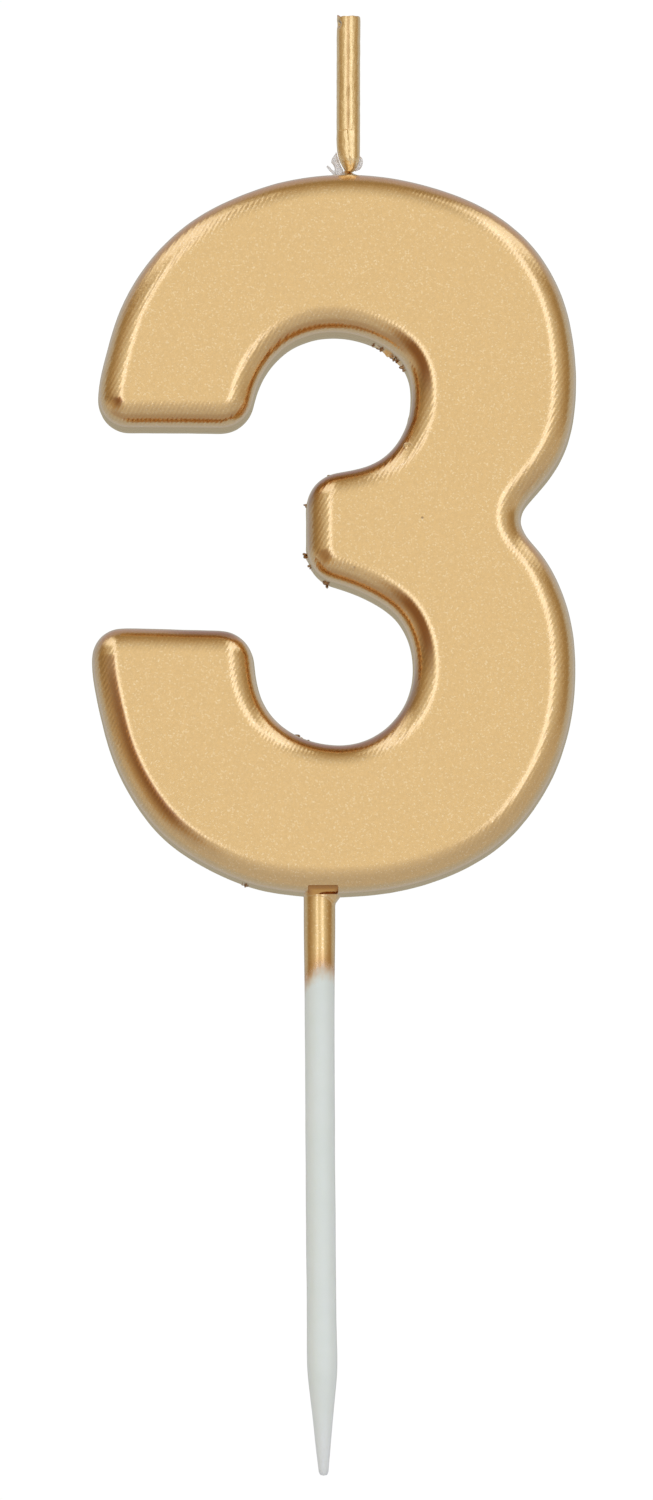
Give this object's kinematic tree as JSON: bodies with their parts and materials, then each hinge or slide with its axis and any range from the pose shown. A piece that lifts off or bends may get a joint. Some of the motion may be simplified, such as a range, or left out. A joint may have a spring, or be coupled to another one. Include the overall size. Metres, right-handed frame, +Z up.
{
  "type": "number birthday candle",
  "caption": "Moulded wax numeral candle with a satin gold lacquer, a short coated wick on top and a slim plastic pick below for pushing into a cake.",
  "frame": {"origin": "on the pick's axis at the digit's lowest edge, which is the cake's surface, half way through the digit's thickness", "axes": "+Z up along the pick towards the wick, -Y out of the numeral's front face, +X to the right of someone reading the numeral"},
  "size_m": [0.047, 0.01, 0.1419],
  "materials": {
    "gold_lacquered_wax": "satin",
    "gold_lacquered_coat": "satin",
    "white_plastic": "satin",
    "cotton": "matte",
    "clear_wax": "satin"
  },
  "bodies": {
    "root": {"wax_digit": "gold_lacquered_wax", "pick": "white_plastic", "wick_coat": "gold_lacquered_coat", "wick_ply_1": "cotton", "wick_ply_2": "cotton", "wick_ply_3": "cotton", "coat_shard_left": "clear_wax", "coat_shard_right": "clear_wax"}
  },
  "joints": []
}
